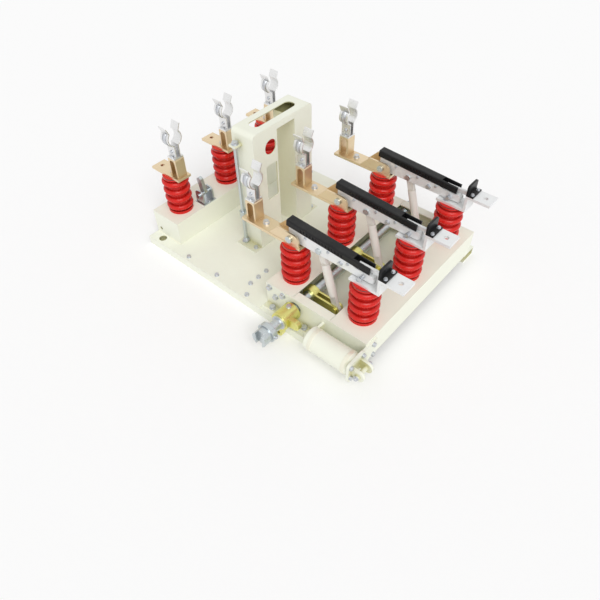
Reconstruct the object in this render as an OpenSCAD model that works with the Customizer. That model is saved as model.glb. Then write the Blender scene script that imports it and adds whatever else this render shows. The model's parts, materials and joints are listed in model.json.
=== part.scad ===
// Three-pole indoor load break switch with fuse clips, lying on the back of its mounting frame.
// The fuse posts stand at the -X end, the cable contacts at the +X end, the drive is on the -Y side, +Z is up.
// The origin is the centre of the four mounting holes on the plane that the frame is bolted against.

/* [Poles] */
// Distance between neighbouring poles
pole_pitch = 210; // [190:5:250]
// Hinge post row to contact post row
blade_span = 235; // [220:5:270]
// Fuse post row to hinge post row
fuse_reach = 500; // [480:5:560]
// Distance between the two clips of one fuse link
clip_pitch = 325; // [315:5:340]

/* [Frame] */
// Height of the folded rails on the floor
rail_h = 30; // [26:1:40]
// Width of the folded rails
rail_w = 60; // [54:1:70]
// Height of the cross beams that carry the posts
beam_h = 85; // [80:1:110]
// Width of the fuse beam and the contact beam
beam_w = 120; // [100:1:130]
// Sheet thickness of rails, beams, pan and portal
sheet_t = 3; // [2:0.5:4]
// Overhang of the rails outside the outer poles
side_margin = 110; // [105:1:130]
// Diameter of the four mounting holes
mount_d = 13; // [9:0.5:14]

/* [Portal] */
// Width across the two legs
portal_w = 250; // [230:2:270]
// Depth of the legs along the fuses
portal_d = 84; // [70:2:100]
// Height above the pan
portal_h = 402; // [380:2:430]
// Fuse post row to the middle of the portal
portal_reach = 237; // [220:1:250]
// Width of the way through it for the middle fuse link
portal_gap = 76; // [68:2:84]
// Shift of that way towards the far leg
portal_shift = 9; // [4:1:12]
// Diameter of the round hole and width of the window below it
portal_hole = 46; // [36:1:50]
// Radius of the two bent upper corners
portal_r = 14; // [8:1:24]
// Length of the slot in the top
top_slot_l = 176; // [120:2:190]
// Width of the slot in the top
top_slot_w = 36; // [20:2:46]

/* [Post insulators] */
// Height of a post
post_h = 130; // [120:1:145]
// Diameter over the sheds
shed_d = 85; // [76:1:92]
// Diameter of the core between the sheds
core_d = 64; // [54:1:70]
// Number of sheds
shed_count = 4; // [3:1:5]

/* [Contacts] */
// Thickness of the copper bars on the posts
bar_t = 8; // [6:1:10]
// Width of the copper bars on the posts
bar_w = 50; // [46:1:56]
// Height of the stool between a bar and a fuse clip
stool_h = 62; // [52:1:70]
// Width and depth of that stool
stool_w = 34; // [32:1:42]
// Height of the spring leaves below a fuse cap
stem_h = 36; // [28:1:40]
// Diameter of the fuse link caps that the clips hold
cap_d = 45; // [40:1:50]
// Length of a clip along the fuse link
clip_l = 32; // [24:1:36]
// Reach of the cable terminals past the contact posts
terminal_reach = 118; // [100:1:130]

/* [Blades] */
// Thickness of one blade strip
strip_t = 5; // [4:0.5:6]
// Height of one blade strip
strip_w = 24; // [22:1:28]
// Gap between the two strips of a blade
strip_gap = 12; // [10:0.5:14]
// Diameter of the hinge pins and link pins
pin_d = 12; // [10:0.5:13]
// Link pin to hinge pin, and crank pin to shaft, as a share of the blade span
crank_share = 0.38; // [0.36:0.01:0.40]

/* [Arc chutes] */
// Width of a chute
chute_w = 28; // [24:1:28]
// Height of a chute
chute_h = 22; // [18:1:26]
// Fall of a chute towards the contact in degrees
chute_tilt = 3.5; // [2.5:0.1:5]
// Width of the slot in the forked end of a chute
fork_w = 18; // [16:1:19]

/* [Drive] */
// Diameter of the main shaft
shaft_d = 32; // [28:1:34]
// Shaft axis beside the hinge pins as a share of the blade span
shaft_share = 0.25; // [0.23:0.01:0.27]
// Shaft axis above the floor
shaft_z = 80; // [76:1:84]
// Outer diameter of the spring tube
tube_d = 66; // [56:1:70]
// Space between the spring tube and the side plate
tube_gap = 16; // [10:1:20]

/* [Hidden] */
$fn = 64;
run_gap = 0.05;
slide_gap = 0.3;
pole_y = [-pole_pitch, 0, pole_pitch];
plate_t = 4;
frame_l = fuse_reach + blade_span + beam_w + 5;
frame_w = 2 * (pole_pitch + side_margin);
beam_l = 2 * pole_pitch + 140;
beam_top = rail_h + beam_h;
fuse_x = beam_w / 2 - frame_l / 2;
hinge_x = fuse_x + fuse_reach;
contact_x = hinge_x + blade_span;
upper_clip_x = fuse_x + 28;
lower_clip_x = upper_clip_x + clip_pitch;
hinge_back = 50;
hinge_front = 48;
post_top = beam_top + post_h;
bar_top = post_top + bar_t;
strip_lift = 3;
hinge_z = bar_top + strip_lift + strip_w / 2;
hinge_h = hinge_z - bar_top;
blade_l = blade_span + 27;
crank_r = blade_span * crank_share;
strip_out = strip_gap / 2 + strip_t;
tongue_t = strip_gap - 2 * slide_gap;
chute_start = -18;
chute_end = blade_span + 13;
chute_rise = strip_w / 2 + 1 + chute_end * tan(chute_tilt);
fork_l = 52;
cheek_t = 5;
cheek_out = bar_w / 2 - 1;
clip_z = bar_top + stool_h;
clip_t = 3;
clip_foot = 5;
cap_z = clip_z + clip_foot + stem_h + clip_t + cap_d / 2;
base_back = 38;
riser_x = contact_x + 46;
pad_z = bar_top + 37;
pad_top = pad_z + bar_t;
barrier_t = 6;
barrier_h = 33;
finger_t = 7;
finger_h = 12;
finger_back = 25;
shaft_dx = blade_span * shaft_share;
shaft_x = hinge_x + shaft_dx;
crank_pin_x = shaft_x + crank_r;
rod_l = norm([shaft_dx, hinge_z - shaft_z]);
rod_lean = atan2(shaft_dx, hinge_z - shaft_z);
eye_t = strip_gap - 1;
arm_t = 6;
portal_x = fuse_x + portal_reach;
portal_edge = portal_shift - portal_gap / 2;
way_h = portal_h - 19;
rod_x = portal_x - 17;
rod_y = -portal_w / 2 - 13;
rod_r = 6;
pan_top = rail_h + sheet_t;
plate_y = beam_l / 2 + plate_t;
lever_y = plate_y + 38;
hub_l = 56;
lever_t = 14;
spring_arm = 46;
fork_y = plate_y + 126;
drive_arm = 50;
drive_angle = 100;
tube_y = plate_y + tube_d / 2 + tube_gap;
tube_z = shaft_z - 4;
mount_inset = 45;
mount_side = 22;
mount_dx = frame_l / 2 - mount_inset;
mount_dy = frame_w / 2 - mount_side;

// Height of the underside of a chute above the hinge pin
function under(x) = chute_rise - x * tan(chute_tilt);

cream = [0.88, 0.86, 0.74];
red = [0.72, 0.05, 0.06];
silver = [0.80, 0.80, 0.78];
copper = [0.80, 0.58, 0.42];
black = [0.08, 0.08, 0.08];
zinc = [0.78, 0.70, 0.30];
steel = [0.60, 0.62, 0.65];
white = [0.92, 0.90, 0.86];

// A bar along Y with its middle at y = 0
module along_y(r, l) {
    rotate([90, 0, 0])
        cylinder(r = r, h = l, center = true);
}

// Plate of thickness t with a flat outline drawn in x and z, its middle at y = 0
module upright(t) {
    rotate([90, 0, 0])
        linear_extrude(t, center = true)
            children();
}

// Flat outline with two rounded upper corners standing on the line y = 0
module round_top(w, h, r) {
    translate([-w / 2, 0])
        square([w, h - r]);
    translate([r - w / 2, 0])
        square([w - 2 * r, h]);
    for (s = [-1, 1])
        translate([s * (w / 2 - r), h - r])
            circle(r);
}

// Flat outline with four rounded corners around the middle
module round_box(w, h, r) {
    square([w - 2 * r, h], center = true);
    square([w, h - 2 * r], center = true);
    for (sx = [-1, 1], sy = [-1, 1])
        translate([sx * (w / 2 - r), sy * (h / 2 - r)])
            circle(r);
}

// Flat lever arm from the middle with a round end
module arm(l, r) {
    translate([0, -r])
        square([l, 2 * r]);
    translate([l, 0])
        circle(r);
}

// Folded rail, open to the middle of the frame, with the mounting holes in its lower flange
module rail(side) {
    color(cream)
        difference() {
            translate([-frame_l / 2, side > 0 ? frame_w / 2 - rail_w : -frame_w / 2, 0])
                cube([frame_l, rail_w, rail_h]);
            translate([-frame_l / 2 - 1, side > 0 ? frame_w / 2 - rail_w - 1 : sheet_t - frame_w / 2, sheet_t])
                cube([frame_l + 2, rail_w + 1 - sheet_t, rail_h - 2 * sheet_t]);
            for (sx = [-1, 1])
                translate([sx * mount_dx, side * mount_dy, 0]) {
                    translate([0, 0, -1])
                        cylinder(d = mount_d, h = sheet_t + 2);
                    translate([0, 0, rail_h / 2])
                        cylinder(d = 26, h = rail_h);
                }
        }
}

// Beam of folded sheet, open below, with closed ends
module hat_beam(x) {
    color(cream)
        difference() {
            translate([x - beam_w / 2, -beam_l / 2, rail_h])
                cube([beam_w, beam_l, beam_h]);
            translate([x - beam_w / 2 + sheet_t, sheet_t - beam_l / 2, rail_h - 1])
                cube([beam_w - 2 * sheet_t, beam_l - 2 * sheet_t, beam_h + 1 - sheet_t]);
            for (s = [-1, 1])
                translate([x - beam_w / 2 + 22, s * beam_l / 2, rail_h + 20])
                    along_y(6, 20);
        }
}

module fuse_beam() hat_beam(fuse_x);

module contact_beam() hat_beam(frame_l / 2 - beam_w / 2);

// Channel under the hinge posts, open to the shaft
module hinge_beam() {
    color(cream)
        difference() {
            translate([hinge_x - hinge_back, -beam_l / 2, rail_h])
                cube([hinge_back + hinge_front, beam_l, beam_h]);
            translate([hinge_x - hinge_back + sheet_t, -beam_l / 2 - 1, rail_h + sheet_t])
                cube([hinge_back + hinge_front, beam_l + 2, beam_h - 2 * sheet_t]);
            translate([hinge_x, -beam_l / 2 - 1, rail_h - 1])
                cube([60, beam_l + 2, sheet_t + 2]);
        }
}

// Folded plate that closes the ends of the hinge beam and carries a shaft bearing
module side_plate(side) {
    color(cream)
        difference() {
            union() {
                translate([hinge_x - hinge_back, side > 0 ? beam_l / 2 : -plate_y, rail_h])
                    cube([frame_l / 2 - hinge_x + hinge_back, plate_t, beam_h]);
                translate([hinge_x - hinge_back, side > 0 ? beam_l / 2 : -plate_y - 20, rail_h])
                    cube([mount_dx - 25 - hinge_x + hinge_back, plate_t + 20, plate_t]);
                translate([hinge_x + hinge_front + 1, side > 0 ? plate_y - 28 : -plate_y, beam_top - plate_t])
                    cube([frame_l / 2 - beam_w - hinge_x - hinge_front - 2, 28, plate_t]);
            }
            translate([shaft_x, side * plate_y, shaft_z])
                along_y(shaft_d / 2 + 4, 20);
        }
}

// Floor sheets of the fuse bay and of the drive bay
module bay_pan() {
    color(cream) {
        translate([fuse_x + beam_w / 2, -frame_w / 2, rail_h])
            cube([fuse_reach - beam_w / 2 - hinge_back, frame_w, sheet_t]);
        translate([hinge_x, -beam_l / 2, rail_h])
            cube([frame_l / 2 - beam_w - hinge_x, beam_l, sheet_t]);
    }
}

// Portal over the middle fuse link, with a slotted top, an open near leg and a boxed far leg
module portal() {
    front_x = portal_x + portal_d / 2 - sheet_t;
    color(cream)
        translate([0, 0, pan_top])
            difference() {
                union() {
                    translate([portal_x - portal_d / 2, 0, 0])
                        rotate([90, 0, 90])
                            linear_extrude(portal_d)
                                difference() {
                                    round_top(portal_w, portal_h, portal_r);
                                    translate([0, -1])
                                        round_top(portal_w - 2 * sheet_t, portal_h + 1 - sheet_t, portal_r - sheet_t);
                                }
                    translate([front_x, 0, 0])
                        rotate([90, 0, 90])
                            linear_extrude(sheet_t)
                                difference() {
                                    round_top(portal_w, portal_h, portal_r);
                                    translate([portal_edge, -1])
                                        square([portal_gap, way_h + 1]);
                                    translate([portal_edge - 5 - portal_hole / 2, 0.845 * portal_h])
                                        circle(d = portal_hole);
                                    translate([portal_edge - 5 - portal_hole / 2, 0.56 * portal_h])
                                        round_box(portal_hole, 0.29 * portal_h, 5);
                                }
                    translate([portal_x - portal_d / 2, portal_edge + portal_gap, 0])
                        cube([portal_d, sheet_t, way_h]);
                    translate([portal_x - portal_d / 2, 0, 0])
                        rotate([90, 0, 90])
                            linear_extrude(sheet_t)
                                intersection() {
                                    round_top(portal_w, portal_h, portal_r);
                                    translate([portal_edge + portal_gap, 0])
                                        square([portal_w, portal_h]);
                                }
                    for (s = [-1, 1])
                        translate([portal_x - portal_d / 2, s > 0 ? portal_w / 2 - sheet_t : -portal_w / 2 - 32, 0])
                            cube([portal_d, 32 + sheet_t, sheet_t]);
                    translate([rod_x - 13, rod_y - 13, portal_h - 44])
                        cube([26, 14 - rod_y - portal_w / 2, 6]);
                }
                translate([portal_x, 0, portal_h - sheet_t - 1])
                    linear_extrude(sheet_t + 2)
                        rotate(90)
                            round_box(top_slot_l, top_slot_w, top_slot_w / 2 - 1);
                translate([rod_x, rod_y, portal_h - 50])
                    cylinder(r = rod_r + slide_gap, h = 20);
            }
}

// Upright rod beside the near leg of the portal, with a collar
module portal_rod() {
    color(steel)
        translate([rod_x, rod_y, pan_top + sheet_t]) {
            cylinder(r = rod_r, h = portal_h - sheet_t - 30);
            translate([0, 0, 0.26 * portal_h])
                cylinder(r = rod_r + 5, h = 24);
        }
}

// Ribbed post insulator standing on a beam
module post(x, k) {
    pitch = (post_h - 14) / shed_count;
    tip = 0.31 * pitch;
    color(red)
        translate([x, pole_y[k], beam_top])
            rotate_extrude() {
                square([core_d / 2, post_h]);
                square([shed_d / 2 - 3, 9]);
                translate([0, post_h - 8])
                    square([core_d / 2 + 4, 8]);
                for (i = [0 : shed_count - 1])
                    translate([0, 7 + (i + 0.5) * pitch]) {
                        translate([0, -tip])
                            square([shed_d / 2 - tip, 2 * tip]);
                        translate([shed_d / 2 - tip, 0])
                            circle(tip);
                    }
            }
}

// Arched seat for a fuse clip on top of a bar
module stool(x, y) {
    translate([x, y, bar_top])
        upright(stool_w)
            difference() {
                round_top(stool_w, stool_h, 5);
                translate([0, -1])
                    round_top(stool_w - 12, stool_h - 5, 9);
            }
}

// Bars on the fuse posts, each with the seat of its clip and a cable hole
module fuse_terminals() {
    color(copper)
        for (y = pole_y) {
            stool(upper_clip_x, y);
            difference() {
                translate([-frame_l / 2 - 14, y - bar_w / 2, post_top])
                    cube([upper_clip_x + 38 + frame_l / 2, bar_w, bar_t]);
                translate([8 - frame_l / 2, y, post_top - 1])
                    cylinder(d = 13, h = bar_t + 2);
            }
        }
}

// Bar from the lower clip to the hinge, with two outer cheeks and the contact tongue between the strips
module hinge_contacts() {
    color(copper)
        for (y = pole_y) {
            stool(lower_clip_x, y);
            translate([lower_clip_x - 30, y - bar_w / 2, post_top])
                cube([hinge_x - lower_clip_x + 66, bar_w, bar_t]);
            translate([hinge_x, y, bar_top])
                difference() {
                    union() {
                        for (s = [-1, 1])
                            translate([0, s * (cheek_out - cheek_t / 2), 0])
                                upright(cheek_t) {
                                    polygon([[-75, 0], [-42, hinge_h + 20], [12, hinge_h + 20], [12, 0]]);
                                    translate([11, 0])
                                        square([21, hinge_h]);
                                    translate([12, hinge_h])
                                        circle(20);
                                }
                        upright(tongue_t) {
                            translate([-17, 0])
                                square([34, hinge_h]);
                            translate([0, hinge_h])
                                circle(17);
                        }
                    }
                    translate([0, 0, hinge_h])
                        along_y(pin_d / 2 + run_gap, 2 * bar_w);
                }
        }
}

// Contact block with the tongue between the strips and a raised cable terminal
module fixed_contacts() {
    color(silver)
        for (y = pole_y)
            translate([contact_x, y, 0])
                difference() {
                    union() {
                        translate([-base_back, -bar_w / 2, post_top])
                            cube([riser_x - contact_x + bar_t + base_back, bar_w, bar_t]);
                        translate([0, 0, bar_top])
                            upright(tongue_t)
                                round_top(50, hinge_h + strip_w / 2, 12);
                        translate([riser_x - contact_x, -bar_w / 2, post_top])
                            cube([bar_t, bar_w, pad_z - post_top + bar_t]);
                        translate([riser_x - contact_x, -bar_w / 2, pad_z])
                            cube([terminal_reach - riser_x + contact_x, bar_w, bar_t]);
                    }
                    translate([terminal_reach - 24, 0, pad_z - 1])
                        cylinder(d = 13, h = bar_t + 2);
                }
}

// Two spring leaves on a foot that grip a fuse cap, with spread lips at the open top
module clip(x, y) {
    mouth = 48;
    leaf_in = 6;
    r = cap_d / 2;
    mid = r + clip_t / 2;
    rise = cap_z - clip_z;
    translate([x, y, clip_z])
        rotate([90, 0, 90])
            linear_extrude(clip_l, center = true) {
                translate([-stool_w / 2, 0])
                    square([stool_w, clip_foot]);
                for (s = [-1, 1])
                    translate([s * (leaf_in + clip_t / 2) - clip_t / 2, 0])
                        square([clip_t, rise - sqrt(mid * mid - pow(leaf_in + clip_t / 2, 2))]);
                translate([0, rise]) {
                    difference() {
                        circle(r + clip_t);
                        circle(r);
                        polygon([[0, 0], [2 * r * cos(mouth), 2 * r * sin(mouth)], [0, 3 * r],
                                 [-2 * r * cos(mouth), 2 * r * sin(mouth)]]);
                        translate([-leaf_in, -2 * r])
                            square([2 * leaf_in, 2 * r]);
                    }
                    for (s = [-1, 1])
                        translate([s * mid * cos(mouth), mid * sin(mouth)])
                            rotate(-s * 24) {
                                translate([-clip_t / 2, 0])
                                    square([clip_t, r - 1]);
                                translate([0, r - 1])
                                    circle(clip_t / 2);
                                circle(clip_t / 2);
                            }
                }
            }
}

module upper_clips() {
    color(silver)
        for (y = pole_y)
            clip(upper_clip_x, y);
}

module lower_clips() {
    color(silver)
        for (y = pole_y)
            clip(lower_clip_x, y);
}

// Black angle plates that stand on the cable terminals behind the blade tips
module arc_barriers() {
    color(black)
        for (y = pole_y)
            translate([riser_x, y, pad_top]) {
                rotate([90, 0, 90])
                    linear_extrude(barrier_t)
                        round_top(bar_w, barrier_h, 8);
                translate([0, -bar_w / 2, 0])
                    cube([22, bar_w, 4]);
            }
}

// Arcing fingers that stand in the forked ends of the chutes
module arcing_fingers() {
    color(silver)
        for (y = pole_y)
            translate([contact_x - finger_back, y - finger_t / 2, pad_top - finger_h - 1])
                cube([riser_x - contact_x + finger_back, finger_t, finger_h]);
}

// Flanged bearings inside the side plates
module shaft_bearings() {
    color(steel)
        for (s = [-1, 1])
            translate([shaft_x, s * beam_l / 2, shaft_z])
                rotate([s * 90, 0, 0])
                    difference() {
                        union() {
                            linear_extrude(6)
                                round_box(60, 60, 8);
                            cylinder(r = shaft_d / 2 + 8, h = 20);
                        }
                        translate([0, 0, -1])
                            cylinder(r = shaft_d / 2 + run_gap, h = 22);
                    }
}

// Small bracket with a trip arm on the fuse beam between the first two poles
module trip_bracket() {
    color(steel)
        translate([fuse_x + 36, -0.64 * pole_pitch, beam_top]) {
            translate([-22, -26, 0])
                cube([44, 52, 4]);
            for (s = [-1, 1])
                translate([0, s * 20, 0])
                    upright(5)
                        round_top(36, 48, 12);
            translate([0, 0, 32]) {
                along_y(7, 58);
                rotate([0, -104, 0])
                    upright(12)
                        arm(46, 10);
            }
        }
}

// Spring housing beside the front side plate, carried by a flange at the neck and an ear on the contact beam
module spring_tube() {
    x0 = shaft_x + 97;
    x1 = frame_l / 2;
    ear = 40;
    color(cream)
        translate([0, -tube_y, tube_z]) {
            rotate([0, 90, 0]) {
                translate([0, 0, x0])
                    cylinder(d = tube_d, h = x1 - x0);
                translate([0, 0, x0 - 12])
                    cylinder(d = tube_d / 2, h = 13);
                translate([0, 0, x1])
                    linear_extrude(8)
                        round_box(tube_d + 4, tube_d + 4, 10);
            }
            translate([x0, 0, -18])
                cube([8, tube_y - plate_y, 36]);
            translate([x1, 0, -tube_d / 2 + 8])
                cube([8, tube_y - plate_y + ear, tube_d - 10]);
            for (s = [-1, 1])
                translate([x1 + 6, s * 18, 0])
                    upright(8)
                        arm(22, 18);
            translate([x1 + 28, 0, 0])
                along_y(7, 56);
        }
}

module main_shaft() {
    color(steel)
        translate([shaft_x, (beam_l / 2 + 26 - fork_y + 6) / 2, shaft_z])
            along_y(shaft_d / 2, beam_l / 2 + 26 + fork_y - 6);
}

// Twin-arm cranks on the shaft, one for each pull rod
module shaft_cranks() {
    color(zinc)
        for (y = pole_y)
            translate([shaft_x, y, shaft_z]) {
                difference() {
                    union() {
                        along_y(shaft_d / 2 + 8, strip_gap + 2 * arm_t);
                        for (s = [-1, 1])
                            translate([0, s * (strip_gap + arm_t) / 2, 0])
                                upright(arm_t)
                                    arm(crank_r, 13);
                    }
                    along_y(shaft_d / 2 + run_gap, 100);
                }
                translate([crank_r, 0, 0]) {
                    along_y(pin_d / 2, strip_gap + 2 * arm_t);
                    for (s = [-1, 1])
                        translate([0, s * (strip_gap / 2 + arm_t + 2), 0])
                            along_y(pin_d / 2 + 3, 4);
                }
            }
}

// Hub on the shaft with an arm towards the spring and an arm for the drive rod
module operating_lever() {
    color(zinc)
        translate([shaft_x, -lever_y, shaft_z])
            difference() {
                union() {
                    along_y(shaft_d / 2 + 12, hub_l);
                    translate([0, lever_y - tube_y, 0])
                        rotate([0, -8, 0])
                            upright(lever_t)
                                arm(spring_arm, 15);
                    translate([0, -20, 0])
                        rotate([0, drive_angle, 0])
                            upright(lever_t)
                                arm(drive_arm, 15);
                }
                along_y(shaft_d / 2 + run_gap, 100);
                translate([0, -20, 0])
                    rotate([0, drive_angle, 0])
                        translate([drive_arm, 0, 0])
                            along_y(7, lever_t + 6);
            }
}

// Forked sleeve that takes the drive rod
module drive_coupling() {
    color(steel)
        translate([shaft_x, -fork_y, shaft_z])
            difference() {
                union() {
                    along_y(shaft_d / 2 + 8, 44);
                    translate([0, 14, 0])
                        along_y(shaft_d / 2 + 13, 16);
                }
                translate([0, 22, 0])
                    along_y(shaft_d / 2 + run_gap, 64);
                translate([-11, -40, -50])
                    cube([22, 28, 100]);
            }
}

// Two strips joined by a distance piece, drawn in the closed position
module blade(k) {
    color(silver)
        translate([hinge_x, pole_y[k], hinge_z]) {
            for (s = [-1, 1])
                translate([0, s * (strip_gap + strip_t) / 2, 0])
                    upright(strip_t)
                        difference() {
                            union() {
                                translate([0, -strip_w / 2])
                                    square([blade_l - strip_w / 2, strip_w]);
                                circle(strip_w / 2);
                                translate([blade_l - strip_w / 2, 0])
                                    circle(strip_w / 2);
                                polygon([[-12, 0], [-12, under(-12)],
                                         [chute_end - fork_l - 6, under(chute_end - fork_l - 6)],
                                         [chute_end - fork_l + 16, strip_w / 2 - 1], [0, 0]]);
                            }
                            circle(pin_d / 2 + run_gap);
                            translate([crank_r, 0])
                                circle(pin_d / 2 + run_gap);
                        }
            translate([0.57 * blade_l, -strip_gap / 2 - 1, -10])
                cube([22, strip_gap + 2, 20]);
        }
}

// Arc chute that lies on the upper edges of the strips, forked at the contact end
module chute(k) {
    groove = (chute_end - fork_l - 44) / 15;
    color(black)
        translate([hinge_x, pole_y[k], hinge_z + chute_rise])
            rotate([0, chute_tilt, 0])
                difference() {
                    translate([chute_start, 0, chute_h / 2])
                        rotate([90, 0, 90])
                            linear_extrude(chute_end - chute_start)
                                round_box(chute_w, chute_h, 4);
                    translate([chute_end - fork_l, -fork_w / 2, -1])
                        cube([fork_l + 10, fork_w, chute_h + 2]);
                    for (i = [0 : 13], s = [-1, 1])
                        translate([30 + i * groove, s * chute_w / 2 - 1.5, 6])
                            cube([groove / 2, 3, chute_h - 12]);
                }
}

// Hinge pin with spring washers and link pin of one blade
module blade_pins(k) {
    color(steel)
        translate([hinge_x, pole_y[k], hinge_z]) {
            along_y(pin_d / 2, 2 * cheek_out + 2 * slide_gap + 8);
            for (s = [-1, 1]) {
                translate([0, s * (cheek_out + slide_gap + 2.5), 0])
                    along_y(10, 5);
                translate([0, s * (strip_out + cheek_out - cheek_t - slide_gap) / 2, 0])
                    along_y(11, cheek_out - cheek_t - slide_gap - strip_out);
            }
            translate([crank_r, 0, 0]) {
                along_y(pin_d / 2, 2 * strip_out);
                for (s = [-1, 1])
                    translate([0, s * (strip_out + 2), 0])
                        along_y(9, 4);
            }
        }
}

// Insulating pull rod between crank pin and link pin
module pull_rod(k) {
    color(white)
        translate([crank_pin_x, pole_y[k], shaft_z])
            rotate([0, -rod_lean, 0])
                difference() {
                    union() {
                        upright(eye_t) {
                            translate([-10, 0])
                                square([20, rod_l]);
                            circle(13);
                            translate([0, rod_l])
                                circle(13);
                        }
                        translate([0, 0, 46])
                            cylinder(r = 12, h = rod_l - 92);
                    }
                    along_y(pin_d / 2 + run_gap, 50);
                    translate([0, 0, rod_l])
                        along_y(pin_d / 2 + slide_gap, 50);
                }
}

rail(-1);  // front_rail
rail(1);  // rear_rail
fuse_beam();
hinge_beam();
contact_beam();
side_plate(-1);  // front_side_plate
side_plate(1);  // rear_side_plate
bay_pan();
portal();
portal_rod();
post(fuse_x, 0);  // fuse_post_1
post(fuse_x, 1);  // fuse_post_2
post(fuse_x, 2);  // fuse_post_3
post(hinge_x, 0);  // hinge_post_1
post(hinge_x, 1);  // hinge_post_2
post(hinge_x, 2);  // hinge_post_3
post(contact_x, 0);  // contact_post_1
post(contact_x, 1);  // contact_post_2
post(contact_x, 2);  // contact_post_3
fuse_terminals();
hinge_contacts();
fixed_contacts();
upper_clips();
lower_clips();
arc_barriers();
arcing_fingers();
shaft_bearings();
trip_bracket();
spring_tube();
main_shaft();
shaft_cranks();
operating_lever();
drive_coupling();
blade(0);  // blade_1
blade(1);  // blade_2
blade(2);  // blade_3
chute(0);  // chute_1
chute(1);  // chute_2
chute(2);  // chute_3
blade_pins(0);  // blade_pins_1
blade_pins(1);  // blade_pins_2
blade_pins(2);  // blade_pins_3
pull_rod(0);  // pull_rod_1
pull_rod(1);  // pull_rod_2
pull_rod(2);  // pull_rod_3
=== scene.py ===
"""Looks of the load break switch: finishes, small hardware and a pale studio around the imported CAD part."""

import json
import math

import bpy
from mathutils import Matrix, Vector


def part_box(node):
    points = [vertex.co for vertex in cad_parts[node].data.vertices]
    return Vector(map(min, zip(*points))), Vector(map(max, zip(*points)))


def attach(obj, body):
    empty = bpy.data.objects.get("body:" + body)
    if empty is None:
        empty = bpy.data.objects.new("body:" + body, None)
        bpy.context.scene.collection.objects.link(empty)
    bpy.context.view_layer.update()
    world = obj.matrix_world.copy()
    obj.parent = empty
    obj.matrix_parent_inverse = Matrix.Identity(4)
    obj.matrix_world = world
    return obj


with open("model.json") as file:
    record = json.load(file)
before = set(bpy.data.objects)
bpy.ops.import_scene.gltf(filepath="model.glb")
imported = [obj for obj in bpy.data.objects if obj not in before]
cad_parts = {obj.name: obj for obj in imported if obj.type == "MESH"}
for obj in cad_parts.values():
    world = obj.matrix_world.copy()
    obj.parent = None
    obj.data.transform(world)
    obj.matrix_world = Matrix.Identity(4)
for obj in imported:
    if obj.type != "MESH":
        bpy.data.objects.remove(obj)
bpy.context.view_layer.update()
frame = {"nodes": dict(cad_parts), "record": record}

bl_info = {
    "name": "Load Break Switch Looks",
    "version": (1, 1, 0),
    "blender": (4, 5, 0),
    "location": "View3D > Sidebar > Switch",
    "description": "Finishes, small hardware and studio for a three-pole load break switch",
    "category": "Object",
}

POLES = (1, 2, 3)
UP = Vector((0, 0, 1))
SIDES = (Vector((0, -1, 0)), Vector((0, 1, 0)))
ENDS = (Vector((-1, 0, 0)), Vector((1, 0, 0)))


def colour(name, description, default):
    """Colour property of one finish."""
    return bpy.props.FloatVectorProperty(
        name=name, description=description, default=default, subtype="COLOR", min=0.0, max=1.0
    )


class SwitchFinishSettings(bpy.types.PropertyGroup):
    """Colours of the finishes, and the wear, dust and painted corner shade that they share"""

    frame_paint: colour("Frame paint", "Pale paint of frame, portal and spring tube", (0.885, 0.900, 0.785))
    red_resin: colour("Red resin", "Cast resin of the posts", (0.700, 0.015, 0.009))
    silver_plate: colour("Silver plate", "Plating of blades and contacts", (0.86, 0.87, 0.875))
    spring_silver: colour("Spring silver", "Plating of the fuse clips", (0.88, 0.88, 0.87))
    copper_bar: colour("Copper bar", "Tinned copper of bars and stools", (0.84, 0.71, 0.51))
    black_moulding: colour("Black moulding", "Moulding of chutes and barriers", (0.008, 0.008, 0.009))
    yellow_zinc: colour("Yellow zinc", "Passivated zinc of cranks and lever", (0.86, 0.80, 0.235))
    bright_steel: colour("Bright steel", "Plated steel of shaft, rod, pins and screws", (0.64, 0.69, 0.70))
    white_resin: colour("White resin", "Insulating resin of the pull rods", (0.78, 0.76, 0.71))
    edge_radius: bpy.props.FloatProperty(
        name="Edge radius", description="Radius of the softened edges", default=0.0012, unit="LENGTH"
    )
    wear: bpy.props.FloatProperty(
        name="Edge wear", description="Strength of the rubbed edges", default=0.35, subtype="FACTOR"
    )
    dust: bpy.props.FloatProperty(
        name="Dust", description="Dust on faces that look up", default=0.10, subtype="FACTOR"
    )
    # Painted shade: corners, grooves and hollows are darkened towards each finish's painted shade tint
    grime: bpy.props.FloatProperty(
        name="Painted shade", description="Darkening of corners and grooves", default=0.75, subtype="FACTOR"
    )
    painted_shade_reach: bpy.props.FloatProperty(
        name="Painted shade reach", description="Width of the darkened corners", default=0.045, unit="LENGTH"
    )


class SwitchHardwareSettings(bpy.types.PropertyGroup):
    """Sizes of the added screws, welds and springs"""

    small: bpy.props.FloatProperty(
        name="Small screws", description="Thread of chute and clip screws", default=0.005, unit="LENGTH"
    )
    medium: bpy.props.FloatProperty(
        name="Medium screws", description="Thread of contact and cover screws", default=0.007, unit="LENGTH"
    )
    large: bpy.props.FloatProperty(
        name="Large screws", description="Thread of frame and post screws", default=0.009, unit="LENGTH"
    )
    rod_nut: bpy.props.FloatProperty(
        name="Rod nuts", description="Thread of the nuts on the portal's rod", default=0.0105, unit="LENGTH"
    )
    weld: bpy.props.FloatProperty(
        name="Weld bead", description="Radius of the weld beads", default=0.0024, unit="LENGTH"
    )
    spring_width: bpy.props.FloatProperty(
        name="Jaw spring", description="Width of the straps on the fuse clips", default=0.014, unit="LENGTH"
    )


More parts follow.
